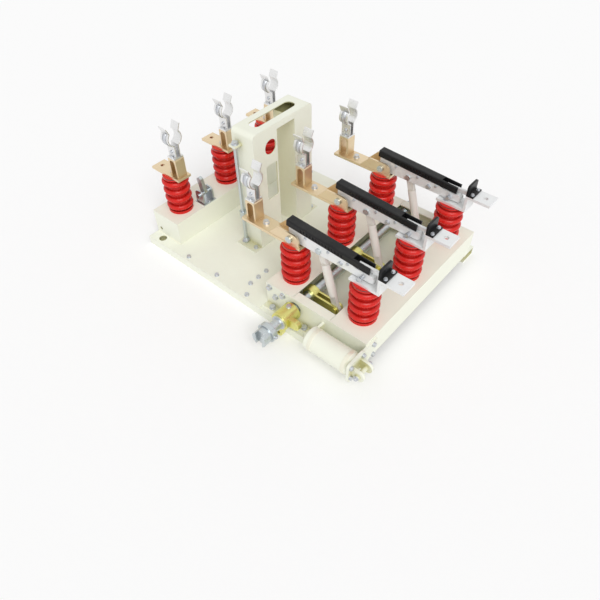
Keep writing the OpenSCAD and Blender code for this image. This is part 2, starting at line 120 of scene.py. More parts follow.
class SwitchStudioSettings(bpy.types.PropertyGroup):
    """Camera and light of the studio"""

    eye: bpy.props.FloatVectorProperty(
        name="Camera place",
        description="Place of the camera",
        default=(0.8492, -1.0077, 1.1896),
        subtype="TRANSLATION",
    )
    azimuth: bpy.props.FloatProperty(
        name="Azimuth", description="Camera turn around the object in degrees", default=41.56
    )
    elevation: bpy.props.FloatProperty(
        name="Elevation", description="Camera height angle in degrees", default=47.7
    )
    roll: bpy.props.FloatProperty(name="Roll", description="Camera roll in degrees", default=-1.37)
    lens: bpy.props.FloatProperty(name="Lens", description="Focal length in millimetres", default=31.69)
    sun: bpy.props.FloatProperty(name="Key light", description="Strength of the key light", default=1.62)
    sky: bpy.props.FloatProperty(name="Sky light", description="Strength of the soft sky", default=0.60)
    backdrop: bpy.props.FloatProperty(
        name="Backdrop", description="Brightness of the backdrop, as of the lit floor", default=0.965
    )


def node(tree, kind, inputs=None, **props):
    """One new node with its properties, and its inputs set or linked."""
    made = tree.nodes.new(kind)
    for name, value in props.items():
        setattr(made, name, value)
    for name, value in (inputs or {}).items():
        if isinstance(value, bpy.types.NodeSocket):
            tree.links.new(value, made.inputs[name])
        else:
            made.inputs[name].default_value = value
    return made


def group(name, kind, ins, outs):
    """New node group with named sockets, as (tree, input node, output node)."""
    tree = bpy.data.node_groups.new(name, kind)
    for label, socket in ins:
        tree.interface.new_socket(label, in_out="INPUT", socket_type="NodeSocket" + socket)
    for label, socket in outs:
        tree.interface.new_socket(label, in_out="OUTPUT", socket_type="NodeSocket" + socket)
    return tree, tree.nodes.new("NodeGroupInput"), tree.nodes.new("NodeGroupOutput")


def soft_edges():
    """Shader group: normals rounded over the edges, and a broken mask of the rubbed edges."""
    tree, into, out = group(
        "Soft Edges",
        "ShaderNodeTree",
        [("Radius", "Float"), ("Wear", "Float")],
        [("Normal", "Vector"), ("Mask", "Float")],
    )
    bevel = node(tree, "ShaderNodeBevel", {"Radius": into.outputs["Radius"]}, samples=4)
    flat = node(tree, "ShaderNodeNewGeometry")
    dot = node(
        tree,
        "ShaderNodeVectorMath",
        {0: bevel.outputs["Normal"], 1: flat.outputs["True Normal"]},
        operation="DOT_PRODUCT",
    )
    edge = node(
        tree,
        "ShaderNodeMapRange",
        {"Value": dot.outputs["Value"], "From Min": 0.985, "From Max": 0.80},
    )
    place = node(tree, "ShaderNodeTexCoord")
    noise = node(
        tree,
        "ShaderNodeTexNoise",
        {"Vector": place.outputs["Object"], "Scale": 90.0, "Detail": 4.0, "Roughness": 0.65},
    )
    broken = node(
        tree,
        "ShaderNodeMapRange",
        {"Value": noise.outputs["Fac"], "From Min": 0.42, "From Max": 0.66},
    )
    both = node(
        tree,
        "ShaderNodeMath",
        {0: edge.outputs["Result"], 1: broken.outputs["Result"]},
        operation="MULTIPLY",
    )
    mask = node(
        tree, "ShaderNodeMath", {0: both.outputs["Value"], 1: into.outputs["Wear"]}, operation="MULTIPLY"
    )
    tree.links.new(bevel.outputs["Normal"], out.inputs["Normal"])
    tree.links.new(mask.outputs["Value"], out.inputs["Mask"])
    return tree


def settled_dust():
    """Shader group: patchy mask of dust on faces that look up."""
    tree, into, out = group("Settled Dust", "ShaderNodeTree", [("Amount", "Float")], [("Mask", "Float")])
    flat = node(tree, "ShaderNodeNewGeometry")
    parts = node(tree, "ShaderNodeSeparateXYZ", {"Vector": flat.outputs["Normal"]})
    up = node(
        tree, "ShaderNodeMapRange", {"Value": parts.outputs["Z"], "From Min": 0.35, "From Max": 0.95}
    )
    place = node(tree, "ShaderNodeTexCoord")
    noise = node(
        tree,
        "ShaderNodeTexNoise",
        {"Vector": place.outputs["Object"], "Scale": 14.0, "Detail": 6.0, "Roughness": 0.7},
    )
    patch = node(
        tree, "ShaderNodeMapRange", {"Value": noise.outputs["Fac"], "From Min": 0.35, "From Max": 0.75}
    )
    both = node(
        tree, "ShaderNodeMath", {0: up.outputs["Result"], 1: patch.outputs["Result"]}, operation="MULTIPLY"
    )
    mask = node(
        tree, "ShaderNodeMath", {0: both.outputs["Value"], 1: into.outputs["Amount"]}, operation="MULTIPLY"
    )
    tree.links.new(mask.outputs["Value"], out.inputs["Mask"])
    return tree


def painted_corner_shade():
    """Shader group: mask of painted shade in a piece's own corners, grooves and hollows, taken from their
    occlusion.
    """
    tree, into, out = group(
        "Corner Grime", "ShaderNodeTree", [("Reach", "Float"), ("Amount", "Float")], [("Mask", "Float")]
    )
    near = node(
        tree,
        "ShaderNodeAmbientOcclusion",
        {"Distance": into.outputs["Reach"]},
        samples=6,
        only_local=True,
    )
    deep = node(
        tree, "ShaderNodeMapRange", {"Value": near.outputs["AO"], "From Min": 0.94, "From Max": 0.40}
    )
    mask = node(
        tree, "ShaderNodeMath", {0: deep.outputs["Result"], 1: into.outputs["Amount"]}, operation="MULTIPLY"
    )
    tree.links.new(mask.outputs["Value"], out.inputs["Mask"])
    return tree


def surface_grain():
    """Shader group: fine relief and a slow patchy value, stretched along X for drawn metal."""
    tree, into, out = group(
        "Surface Grain",
        "ShaderNodeTree",
        [("Scale", "Float"), ("Stretch", "Float"), ("Relief", "Float"), ("Normal", "Vector")],
        [("Patch", "Float"), ("Fine", "Float"), ("Normal", "Vector")],
    )
    place = node(tree, "ShaderNodeTexCoord")
    along = node(tree, "ShaderNodeCombineXYZ", {"X": into.outputs["Stretch"], "Y": 1.0, "Z": 1.0})
    drawn = node(
        tree,
        "ShaderNodeVectorMath",
        {0: place.outputs["Object"], 1: along.outputs["Vector"]},
        operation="MULTIPLY",
    )
    fine = node(
        tree,
        "ShaderNodeTexNoise",
        {"Vector": drawn.outputs["Vector"], "Scale": into.outputs["Scale"], "Detail": 3.0},
    )
    patch = node(
        tree,
        "ShaderNodeTexNoise",
        {"Vector": place.outputs["Object"], "Scale": 9.0, "Detail": 3.0, "Roughness": 0.6},
    )
    bump = node(
        tree,
        "ShaderNodeBump",
        {
            "Strength": into.outputs["Relief"],
            "Distance": 0.0006,
            "Height": fine.outputs["Fac"],
            "Normal": into.outputs["Normal"],
        },
    )
    tree.links.new(patch.outputs["Fac"], out.inputs["Patch"])
    tree.links.new(fine.outputs["Fac"], out.inputs["Fine"])
    tree.links.new(bump.outputs["Normal"], out.inputs["Normal"])
    return tree


DUST_COLOUR = (0.60, 0.58, 0.52, 1)
COAT_ROUGHNESS = 0.12

# Tone of the patches, worn edges and painted shade in corners are shares of the base colour, reach a share of
# the painted shade's reach
FINISHES = {
    "frame_paint": dict(
        tone=(0.96, 0.953, 0.932), worn=(1.02, 1.02, 1.09),
        painted_shade_tint=(0.56, 0.51, 0.16), reach=6.0,
        metal=0.0, gloss=0.28, rough=(0.34, 0.48), coat=0.0,
        scale=420.0, stretch=1.0, relief=0.06, dust=1.0,
    ),
    "red_resin": dict(
        tone=(0.85, 0.72, 0.78), worn=(1.09, 4.3, 4.4),
        painted_shade_tint=(0.40, 0.22, 0.22), reach=1.0,
        metal=0.0, gloss=0.30, rough=(0.20, 0.32), coat=0.05,
        scale=160.0, stretch=1.0, relief=0.03, dust=0.2,
    ),
    "silver_plate": dict(
        tone=(0.93, 0.93, 0.92), worn=(1.04, 1.03, 1.03),
        painted_shade_tint=(0.78, 0.77, 0.75), reach=0.6,
        metal=0.3, gloss=0.50, rough=(0.34, 0.52), coat=0.0,
        scale=520.0, stretch=0.06, relief=0.10, dust=0.2,
    ),
    "spring_silver": dict(
        tone=(0.89, 0.89, 0.90), worn=(1.05, 1.05, 1.03),
        painted_shade_tint=(0.66, 0.66, 0.67), reach=0.6,
        metal=1.0, gloss=0.50, rough=(0.24, 0.40), coat=0.0,
        scale=480.0, stretch=0.12, relief=0.08, dust=0.2,
    ),
    "copper_bar": dict(
        tone=(0.91, 0.85, 0.75), worn=(1.05, 1.09, 1.16),
        painted_shade_tint=(0.66, 0.56, 0.45), reach=0.8,
        metal=1.0, gloss=0.50, rough=(0.28, 0.46), coat=0.0,
        scale=500.0, stretch=0.06, relief=0.10, dust=0.25,
    ),
    "black_moulding": dict(
        tone=(1.7, 1.7, 1.6), worn=(6.0, 6.0, 5.5),
        painted_shade_tint=(0.60, 0.60, 0.60), reach=0.6,
        metal=0.0, gloss=0.20, rough=(0.28, 0.42), coat=0.0,
        scale=380.0, stretch=1.0, relief=0.10, dust=0.4,
    ),
    "yellow_zinc": dict(
        tone=(0.86, 0.92, 1.30), worn=(1.02, 1.10, 2.4),
        painted_shade_tint=(0.60, 0.56, 0.48), reach=0.8,
        metal=1.0, gloss=0.50, rough=(0.26, 0.44), coat=0.0,
        scale=260.0, stretch=1.0, relief=0.10, dust=0.3,
    ),
    "bright_steel": dict(
        tone=(0.83, 0.84, 0.85), worn=(1.14, 1.12, 1.10),
        painted_shade_tint=(0.60, 0.60, 0.62), reach=0.6,
        metal=1.0, gloss=0.50, rough=(0.24, 0.40), coat=0.0,
        scale=360.0, stretch=1.0, relief=0.08, dust=0.2,
    ),
    "white_resin": dict(
        tone=(0.92, 0.91, 0.89), worn=(1.08, 1.08, 1.10),
        painted_shade_tint=(0.74, 0.71, 0.64), reach=0.8,
        metal=0.0, gloss=0.50, rough=(0.30, 0.42), coat=0.0,
        scale=240.0, stretch=1.0, relief=0.05, dust=0.5,
    ),
}


def make_finish(slot, shared, settings):
    """Material of one record slot: patchy tone, painted shade in corners and grooves, rubbed edges, dust and
    grain.
    """
    look = FINISHES[slot]
    base = getattr(settings, slot)

    def shade(share):
        """Share of the finish's colour."""
        return (*(c * k for c, k in zip(base, share)), 1)

    made = bpy.data.materials.new(slot)
    made.use_nodes = True
    tree = made.node_tree
    tree.nodes.clear()
    edges = node(
        tree,
        "ShaderNodeGroup",
        {"Radius": settings.edge_radius, "Wear": settings.wear},
        node_tree=shared["edges"],
    )
    grain = node(
        tree,
        "ShaderNodeGroup",
        {
            "Scale": look["scale"],
            "Stretch": look["stretch"],
            "Relief": look["relief"],
            "Normal": edges.outputs["Normal"],
        },
        node_tree=shared["grain"],
    )
    # Painted shade: the piece's own corners, grooves and hollows darken towards the painted shade tint
    grime = node(
        tree,
        "ShaderNodeGroup",
        {"Reach": settings.painted_shade_reach * look["reach"], "Amount": settings.grime},
        node_tree=shared["grime"],
    )
    dust = node(tree, "ShaderNodeGroup", {"Amount": settings.dust * look["dust"]}, node_tree=shared["dust"])

    def mix(mask, first, second):
        """Colour mix; its sockets go by number, because other types of the node share their names."""
        return node(tree, "ShaderNodeMix", {0: mask, 6: first, 7: second}, data_type="RGBA").outputs[2]

    tones = mix(grain.outputs["Patch"], shade((1, 1, 1)), shade(look["tone"]))
    painted_shade_tones = mix(grime.outputs["Mask"], tones, shade(look["painted_shade_tint"]))
    rubbed = mix(edges.outputs["Mask"], painted_shade_tones, shade(look["worn"]))
    dusty = mix(dust.outputs["Mask"], rubbed, DUST_COLOUR)
    rough = node(
        tree,
        "ShaderNodeMapRange",
        {
            "Value": grain.outputs["Fine"],
            "From Min": 0.3,
            "From Max": 0.7,
            "To Min": look["rough"][0],
            "To Max": look["rough"][1],
        },
    )
    shader = node(
        tree,
        "ShaderNodeBsdfPrincipled",
        {
            "Base Color": dusty,
            "Roughness": rough.outputs["Result"],
            "Metallic": look["metal"],
            "Specular IOR Level": look["gloss"],
            "Normal": grain.outputs["Normal"],
            "Coat Weight": look["coat"],
            "Coat Roughness": COAT_ROUGHNESS,
        },
    )
    node(tree, "ShaderNodeOutputMaterial", {"Surface": shader.outputs["BSDF"]})
    return made


def finished(tree, out, geometry, finish):
    """End of a geometry group: real mesh with its material."""
    real = node(tree, "GeometryNodeRealizeInstances", {"Geometry": geometry})
    painted = node(
        tree, "GeometryNodeSetMaterial", {"Geometry": real.outputs["Geometry"], "Material": finish}
    )
    tree.links.new(painted.outputs["Geometry"], out.inputs["Geometry"])


def attribute(tree, name, kind):
    """Named point attribute as a socket."""
    made = node(tree, "GeometryNodeInputNamedAttribute", {"Name": name}, data_type=kind)
    return made.outputs["Attribute"]


def tube(tree, sides, radius, depth, height):
    """Round or many-sided body that starts at a height on the local Z axis."""
    solid = node(
        tree,
        "GeometryNodeMeshCone",
        {"Vertices": sides, "Radius Bottom": radius, "Radius Top": radius, "Depth": depth},
    )
    return node(
        tree, "GeometryNodeTransform", {"Geometry": solid.outputs["Mesh"], "Translation": (0, 0, height)}
    ).outputs["Geometry"]


def joined(tree, shapes):
    """Several meshes as one."""
    made = node(tree, "GeometryNodeJoinGeometry")
    for shape in shapes:
        tree.links.new(shape, made.inputs[0])
    return made.outputs["Geometry"]


def on_points(tree, points, shape, scale):
    """Instances of a shape on points, turned from Z to the point's axis."""
    turn = node(
        tree,
        "FunctionNodeAlignRotationToVector",
        {"Vector": attribute(tree, "axis", "FLOAT_VECTOR")},
        axis="Z",
    )
    return node(
        tree,
        "GeometryNodeInstanceOnPoints",
        {"Points": points, "Instance": shape, "Rotation": turn.outputs["Rotation"], "Scale": scale},
    ).outputs["Instances"]


def fastener_tree():
    """Geometry group: a hexagon screw with its rings on every point, along the point's axis."""
    tree, into, out = group(
        "Fasteners",
        "GeometryNodeTree",
        [("Points", "Geometry"), ("Head", "Float"), ("Finish", "Material")],
        [("Geometry", "Geometry")],
    )
    washer = tube(tree, sides=28, radius=1.08, depth=0.18, height=0.0)
    spring_ring = tube(tree, sides=28, radius=0.84, depth=0.20, height=0.18)
    hexagon = tube(tree, sides=6, radius=0.93, depth=0.52, height=0.38)
    crown = tube(tree, sides=24, radius=0.80, depth=0.06, height=0.90)
    screw = joined(tree, [washer, spring_ring, hexagon, crown])
    tall = node(tree, "ShaderNodeCombineXYZ", {"X": 1.0, "Y": 1.0, "Z": into.outputs["Head"]})
    shaped = node(tree, "GeometryNodeTransform", {"Geometry": screw, "Scale": tall.outputs["Vector"]})
    placed = on_points(
        tree, into.outputs["Points"], shaped.outputs["Geometry"], attribute(tree, "size", "FLOAT")
    )
    finished(tree, out, placed, into.outputs["Finish"])
    return tree


def collar_tree():
    """Geometry group: a round collar with chamfered rims on every point, its radius the point's size."""
    tree, into, out = group(
        "Collars",
        "GeometryNodeTree",
        [("Points", "Geometry"), ("Width", "Float"), ("Finish", "Material")],
        [("Geometry", "Geometry")],
    )
    rim_height, rim_share = 0.49, 0.965
    size = attribute(tree, "size", "FLOAT")
    scale = node(tree, "ShaderNodeCombineXYZ", {"X": size, "Y": size, "Z": into.outputs["Width"]})
    disc = node(
        tree, "GeometryNodeMeshCylinder", {"Vertices": 56, "Side Segments": 10, "Radius": 1.0, "Depth": 1.0}
    )
    place = node(tree, "GeometryNodeInputPosition")
    parts = node(tree, "ShaderNodeSeparateXYZ", {"Vector": place.outputs["Position"]})
    height = node(tree, "ShaderNodeMath", {0: parts.outputs["Z"]}, operation="ABSOLUTE")
    rim = node(
        tree,
        "FunctionNodeCompare",
        {0: height.outputs["Value"], 1: rim_height},
        data_type="FLOAT",
        operation="GREATER_THAN",
    )
    drawn_in = node(
        tree,
        "ShaderNodeVectorMath",
        {0: place.outputs["Position"], 1: (rim_share, rim_share, 1.0)},
        operation="MULTIPLY",
    )
    chamfered = node(
        tree,
        "GeometryNodeSetPosition",
        {
            "Geometry": disc.outputs["Mesh"],
            "Selection": rim.outputs["Result"],
            "Position": drawn_in.outputs["Vector"],
        },
    )
    ring = node(
        tree,
        "GeometryNodeTransform",
        {"Geometry": chamfered.outputs["Geometry"], "Translation": (0, 0, 0.5)},
    )
    placed = on_points(tree, into.outputs["Points"], ring.outputs["Geometry"], scale.outputs["Vector"])
    finished(tree, out, placed, into.outputs["Finish"])
    return tree


def coil_tree():
    """Geometry group: a small pressure spring on every point, along the point's axis."""
    tree, into, out = group(
        "Coil Springs",
        "GeometryNodeTree",
        [("Points", "Geometry"), ("Turns", "Float"), ("Finish", "Material")],
        [("Geometry", "Geometry")],
    )
    coil_radius = 0.62
    path = node(
        tree,
        "GeometryNodeCurveSpiral",
        {
            "Resolution": 20,
            "Rotations": into.outputs["Turns"],
            "Start Radius": coil_radius,
            "End Radius": coil_radius,
            "Height": 1.3,
        },
    )
    ring = node(tree, "GeometryNodeCurvePrimitiveCircle", {"Resolution": 8, "Radius": 0.13})
    wire = node(
        tree,
        "GeometryNodeCurveToMesh",
        {"Curve": path.outputs["Curve"], "Profile Curve": ring.outputs["Curve"], "Fill Caps": True},
    )
    core = tube(tree, sides=16, radius=0.34, depth=1.5, height=0.0)
    shape = joined(tree, [wire.outputs["Mesh"], core])
    placed = on_points(tree, into.outputs["Points"], shape, attribute(tree, "size", "FLOAT"))
    finished(tree, out, placed, into.outputs["Finish"])
    return tree


def weld_tree():
    """Geometry group: a row of uneven round beads along every edge."""
    tree, into, out = group(
        "Weld Beads",
        "GeometryNodeTree",
        [("Lines", "Geometry"), ("Radius", "Float"), ("Finish", "Material")],
        [("Geometry", "Geometry")],
    )
    path = node(tree, "GeometryNodeMeshToCurve", {"Mesh": into.outputs["Lines"]})
    pitch_share, least, most = 1.25, 0.82, 1.12
    pitch = node(
        tree, "ShaderNodeMath", {0: into.outputs["Radius"], 1: pitch_share}, operation="MULTIPLY"
    )
    even = node(
        tree,
        "GeometryNodeResampleCurve",
        {"Curve": path.outputs["Curve"], "Length": pitch.outputs["Value"]},
        mode="LENGTH",
    )
    bead = node(tree, "GeometryNodeMeshIcoSphere", {"Radius": 1.0, "Subdivisions": 2})
    smooth = node(tree, "GeometryNodeSetShadeSmooth", {"Geometry": bead.outputs["Mesh"]})
    uneven = node(
        tree, "FunctionNodeRandomValue", {2: least, 3: most, "Seed": 4}, data_type="FLOAT"
    )
    size = node(
        tree,
        "ShaderNodeMath",
        {0: uneven.outputs[1], 1: into.outputs["Radius"]},
        operation="MULTIPLY",
    )
    placed = node(
        tree,
        "GeometryNodeInstanceOnPoints",
        {
            "Points": even.outputs["Curve"],
            "Instance": smooth.outputs["Geometry"],
            "Scale": size.outputs["Value"],
        },
    )
    finished(tree, out, placed.outputs["Instances"], into.outputs["Finish"])
    return tree


def jaw_tree():
    """Geometry group: a bent strap around one jaw of a clip on every point, towards the point's axis."""
    tree, into, out = group(
        "Jaw Springs",
        "GeometryNodeTree",
        [("Points", "Geometry"), ("Width", "Float"), ("Finish", "Material")],
        [("Geometry", "Geometry")],
    )
    start, sweep, thickness = math.radians(-58), math.radians(100), 0.07
    arc = node(
        tree,
        "GeometryNodeCurveArc",
        {"Resolution": 24, "Radius": 1.0, "Start Angle": start, "Sweep Angle": sweep},
    )
    upright = node(tree, "GeometryNodeSetCurveNormal", {"Curve": arc.outputs["Curve"]}, mode="Z_UP")
    size = attribute(tree, "size", "FLOAT")
    strap = node(tree, "GeometryNodeCurvePrimitiveQuadrilateral", {"Width": thickness, "Height": 1.0})
    band = node(
        tree,
        "GeometryNodeCurveToMesh",
        {"Curve": upright.outputs["Curve"], "Profile Curve": strap.outputs["Curve"], "Fill Caps": True},
    )
    scale = node(tree, "ShaderNodeCombineXYZ", {"X": size, "Y": size, "Z": into.outputs["Width"]})
    aside = node(
        tree,
        "FunctionNodeAlignRotationToVector",
        {"Vector": attribute(tree, "axis", "FLOAT_VECTOR")},
        axis="X",
    )
    turn = node(
        tree,
        "FunctionNodeAlignRotationToVector",
        {"Rotation": aside.outputs["Rotation"], "Vector": (0, 0, 1)},
        axis="Y",
        pivot_axis="X",
    )
    placed = node(
        tree,
        "GeometryNodeInstanceOnPoints",
        {
            "Points": into.outputs["Points"],
            "Instance": band.outputs["Mesh"],
            "Rotation": turn.outputs["Rotation"],
            "Scale": scale.outputs["Vector"],
        },
    )
    finished(tree, out, placed.outputs["Instances"], into.outputs["Finish"])
    return tree


TREES = {
    "Fasteners": fastener_tree,
    "Collars": collar_tree,
    "Coil Springs": coil_tree,
    "Weld Beads": weld_tree,
    "Jaw Springs": jaw_tree,
}


def realize(kind, name, body, slot, data, **values):
    """Plain mesh that a geometry group makes from a carrier mesh, riding a body."""
    tree = bpy.data.node_groups.get(kind) or TREES[kind]()
    sockets = {
        item.name: item.identifier
        for item in tree.interface.items_tree
        if item.item_type == "SOCKET" and item.in_out == "INPUT"
    }
    carrier = bpy.data.objects.new(name, data)
    bpy.context.scene.collection.objects.link(carrier)
    modifier = carrier.modifiers.new(kind, "NODES")
    modifier.node_group = tree
    for label, value in values.items():
        modifier[sockets[label]] = value
    modifier[sockets["Finish"]] = bpy.data.materials[slot]
    made = bpy.data.meshes.new_from_object(carrier.evaluated_get(bpy.context.evaluated_depsgraph_get()))
    carrier.modifiers.clear()
    carrier.data = made
    if not made.polygons:
        raise RuntimeError(f"{name} has no faces")
    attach(carrier, body)


def spread(name, spots):
    """Carrier mesh of (place, axis, size) spots."""
    points = bpy.data.meshes.new(name + "_points")
    points.from_pydata([tuple(place) for place, _, _ in spots], [], [])
    points.attributes.new("axis", "FLOAT_VECTOR", "POINT")
    points.attributes.new("size", "FLOAT", "POINT")
    for i, (_, along, size) in enumerate(spots):
        points.attributes["axis"].data[i].vector = along
        points.attributes["size"].data[i].value = size
    return points


def fasten(name, body, spots, head=1.0):
    """Screws at (place, axis, thread) spots, with heads of a share of the usual height."""
    realize("Fasteners", name, body, "bright_steel", spread(name, spots), Head=head)


def collars(name, body, slot, spots, width):
    """Round collars of one width at (place, axis, radius) spots."""
    realize("Collars", name, body, slot, spread(name, spots), Width=width)


def middle(node_name):
    """Middle of a CAD node's box."""
    low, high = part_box(node_name)
    return (low + high) / 2


class SWITCH_OT_finishes(bpy.types.Operator):
    """Give every CAD node the finish of its record slot"""

    bl_idname = "switch.finishes"
    bl_label = "Finishes"

    def execute(self, context):
        settings = context.scene.switch_finish
        shared = {
            "edges": soft_edges(),
            "dust": settled_dust(),
            "grime": painted_corner_shade(),
            "grain": surface_grain(),
        }
        made = {slot: make_finish(slot, shared, settings) for slot in FINISHES}
        for part in frame["record"]["subparts"]:
            mesh = frame["nodes"][part["node"]].data
            mesh.materials.clear()
            mesh.materials.append(made[part["material_slot"]])
        return {"FINISHED"}


def pan_screws(size):
    """Screws along both edges of the fuse bay's pan, and a row of three beside the hinge beam."""
    low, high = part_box("bay_pan")
    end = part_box("hinge_beam")[0].x
    per_edge, inset = 3, 0.014
    row_x, row_y = middle("hinge_post_1").x - 0.139, (-0.195, -0.230, -0.265)
    spots = []
    for i in range(per_edge):
        x = low.x + (end - low.x) * (i + 0.5) / per_edge
        spots += [((x, y, high.z), UP, size) for y in (low.y + inset, high.y - inset)]
    return spots + [((row_x, y, high.z), UP, size) for y in row_y]


def portal_screws(size):
    """Screws in the portal's two feet."""
    low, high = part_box("portal")
    inset, foot_thickness = 0.016, 0.003
    return [
        ((x, y, low.z + foot_thickness), UP, size)
        for x in (low.x + inset, high.x - inset)
        for y in (middle("portal_rod").y, high.y - inset)
    ]


def side_plate_screws(size):
    """Screws in the faces and the lower flanges of the two side plates."""
    hinge, contact = middle("hinge_post_1").x, middle("contact_post_1").x
    fold, flange_thickness, inset = 0.028, 0.004, 0.009
    near_hinge = (hinge - 0.02, hinge + 0.10)
    low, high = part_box("rear_side_plate")
    spots = [
        ((x, low.y + fold, z), SIDES[1], size)
        for x in (hinge - 0.03, contact - 0.03, contact + 0.04)
        for z in (low.z + 0.026, high.z - 0.016)
    ]
    spots += [
        ((x, high.y - inset, low.z + flange_thickness), UP, size)
        for x in (*near_hinge, contact - 0.06)
    ]
    low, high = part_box("front_side_plate")
    spots += [
        ((hinge + x, high.y - fold, low.z + z), SIDES[0], size)
        for x, z in ((-0.036, 0.072), (-0.014, 0.046), (0.014, 0.070))
    ]
    return spots + [((x, low.y + inset, low.z + flange_thickness), UP, size) for x in near_hinge]


def rod_nuts(size):
    """Nuts above and below the portal's lug and at the foot of its rod."""
    lug_drop, lug_thickness, foot_height = 0.044, 0.006, 0.010
    rod = middle("portal_rod")
    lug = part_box("portal")[1].z - lug_drop
    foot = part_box("portal_rod")[0].z + foot_height
    return [
        ((rod.x, rod.y, lug + lug_thickness), UP, size),
        ((rod.x, rod.y, lug), -UP, size),
        ((rod.x, rod.y, foot), UP, size),
    ]


def weld_lines():
    """Carrier mesh of the edges where beams and side plates are welded to the rails."""
    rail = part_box("front_rail")[1].z
    beam_inset, plate_start, plate_end = 0.008, 0.010, 0.070
    runs = []
    for beam in ("fuse_beam", "contact_beam"):
        low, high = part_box(beam)
        runs += [(low.x + beam_inset, high.x - beam_inset, y) for y in (low.y, high.y)]
    low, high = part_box("front_side_plate")
    runs += [(low.x + plate_start, high.x - plate_end, y) for y in (low.y, -low.y)]
    ends = [(x, y, rail) for start, stop, y in runs for x in (start, stop)]
    lines = bpy.data.meshes.new("weld_lines")
    lines.from_pydata(ends, [(2 * i, 2 * i + 1) for i in range(len(runs))], [])
    return lines


class SWITCH_OT_frame_hardware(bpy.types.Operator):
    """Screws of pan, portal and side plates, and the welds of the beams"""

    bl_idname = "switch.frame_hardware"
    bl_label = "Frame hardware"

    def execute(self, context):
        sizes = context.scene.switch_hardware
        spots = pan_screws(sizes.medium) + portal_screws(sizes.medium) + side_plate_screws(sizes.large)
        fasten("frame_screws", "frame", spots)
        fasten("rod_nuts", "frame", rod_nuts(sizes.rod_nut), head=0.8)
        realize("Weld Beads", "frame_welds", "frame", "frame_paint", weld_lines(), Radius=sizes.weld)
        return {"FINISHED"}


class SWITCH_OT_clip_hardware(bpy.types.Operator):
    """Foot screws, cross bolts and spring straps of the fuse clips"""

    bl_idname = "switch.clip_hardware"
    bl_label = "Clip hardware"

    def execute(self, context):
        sizes = context.scene.switch_hardware
        foot_thickness, foot_y, foot_screw = 0.005, 0.013, sizes.small * 0.72
        bolt_z, leaf_y = 0.022, 0.009
        jaw_z, jaw_radius = 0.0665, 0.0264
        spots, straps = [], []
        for clips in ("upper_clips", "lower_clips"):
            low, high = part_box(clips)
            x = (low.x + high.x) / 2
            for k in POLES:
                y = middle(f"contact_post_{k}").y
                for side in SIDES:
                    spots.append(((x, y + side.y * foot_y, low.z + foot_thickness), UP, foot_screw))
                    spots.append(((x, y + side.y * leaf_y, low.z + bolt_z), side, sizes.small))
                    straps.append(((x, y, low.z + jaw_z), side, jaw_radius))
        fasten("clip_screws", "frame", spots)
        carrier = spread("clip_straps", straps)
        realize("Jaw Springs", "clip_straps", "frame", "bright_steel", carrier, Width=sizes.spring_width)
        return {"FINISHED"}


class SWITCH_OT_contact_hardware(bpy.types.Operator):
    """Screws of bars, contacts and arc barriers, and thin black rings at the post tops that paint the shade
    under the bars
    """

    bl_idname = "switch.contact_hardware"
    bl_label = "Contact hardware"

    def execute(self, context):
        sizes = context.scene.switch_hardware
        bar_thickness, joint_back, contact_back, pair_y = 0.008, 0.106, 0.012, 0.016
        barrier_inset, barrier_thickness = 0.007, 0.004
        # Thin black rings just below the bars at the post tops: painted shade where the bars sit on the posts
        shade_ring_drop, shade_ring_thickness, shade_ring_radius = 0.0108, 0.0026, 0.0364
        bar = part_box("hinge_contacts")[0].z + bar_thickness
        low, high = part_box("arc_barriers")
        barrier_x, barrier_z = high.x - barrier_inset, low.z + barrier_thickness
        spots, shade_rings = [], []
        for k in POLES:
            fuse = middle(f"fuse_post_{k}")
            hinge = middle(f"hinge_post_{k}")
            contact = middle(f"contact_post_{k}")
            spots.append(((fuse.x, fuse.y, bar), UP, sizes.large))
            spots.append(((hinge.x - joint_back, hinge.y, bar), UP, sizes.large))
            for side in SIDES:
                y = contact.y + side.y * pair_y
                spots.append(((contact.x - contact_back, y, bar), UP, sizes.medium))
                spots.append(((barrier_x, y, barrier_z), UP, sizes.small))
            for row in (fuse, hinge, contact):
                shade_rings.append(((row.x, row.y, bar - shade_ring_drop), UP, shade_ring_radius))
        fasten("contact_screws", "frame", spots)
        # Black rings of painted shade at the tops of the posts
        collars("post_caps", "frame", "black_moulding", shade_rings, shade_ring_thickness)
        return {"FINISHED"}


class SWITCH_OT_blade_hardware(bpy.types.Operator):
    """Screws and pressure springs of the blades on each pole"""

    bl_idname = "switch.blade_hardware"
    bl_label = "Blade hardware"

    def execute(self, context):
        sizes = context.scene.switch_hardware
        spacer_x, chute_screws_x = 0.160, (0.045, 0.120, 0.182)
        wing_fall, wing_start, wing_inset = 0.061, 0.012, 0.007
        spring_back, spring_size, spring_length, turns = 0.004, 0.0082, 0.0107, 3.5
        chute_screw = sizes.small * 0.8
        for k in POLES:
            low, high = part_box(f"blade_{k}")
            hinge = middle(f"hinge_post_{k}").x
            tip = middle(f"contact_post_{k}").x - spring_back
            z = middle(f"blade_pins_{k}").z
            spots, coils = [], []
            for y, side in ((low.y, SIDES[0]), (high.y, SIDES[1])):
                spots.append(((hinge + spacer_x, y, z), side, sizes.medium))
                for x in chute_screws_x:
                    edge = high.z - wing_fall * (x + wing_start)
                    spots.append(((hinge + x, y, edge - wing_inset), side, chute_screw))
                coils.append(((tip, y, z), side, spring_size))
                spots.append(((tip, y + side.y * spring_length, z), side, sizes.medium))
            body, springs = f"blade_arm_{k}", f"blade_springs_{k}"
            fasten(f"blade_screws_{k}", body, spots)
            realize("Coil Springs", springs, body, "bright_steel", spread(springs, coils), Turns=turns)
        return {"FINISHED"}


